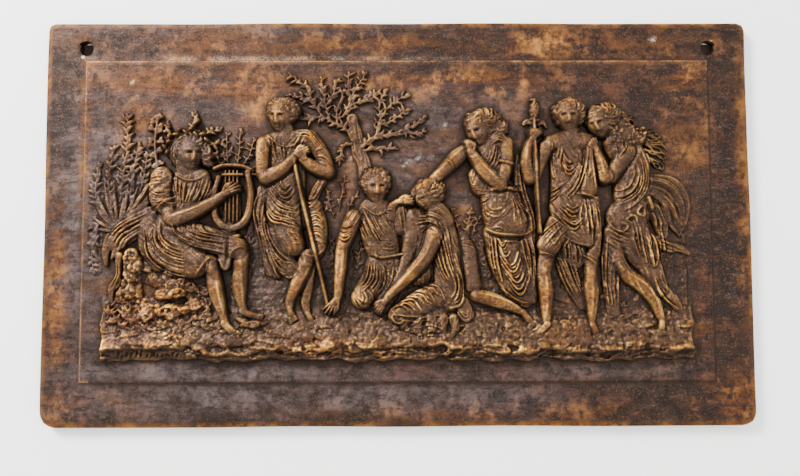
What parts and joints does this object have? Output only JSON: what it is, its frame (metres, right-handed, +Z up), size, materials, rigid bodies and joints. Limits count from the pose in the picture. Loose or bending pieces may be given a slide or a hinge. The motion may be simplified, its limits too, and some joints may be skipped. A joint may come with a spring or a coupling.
{
  "type": "relief plaque",
  "caption": "Cast bronze wall plaque with a raised panel of draped figures in half relief among plants, and two screw holes in its border.",
  "frame": {"origin": "middle of the flat back, which lies against the wall", "axes": "+X to the right along the plaque's length, +Z up, +Y out of the back into the wall; the carved front faces -Y"},
  "size_m": [0.42, 0.0178, 0.241],
  "materials": {
    "bronze": "dark brown patina over cast bronze, rubbed to ochre on the high places"
  },
  "bodies": {
    "root": {"plaque": "bronze"}
  },
  "joints": []
}
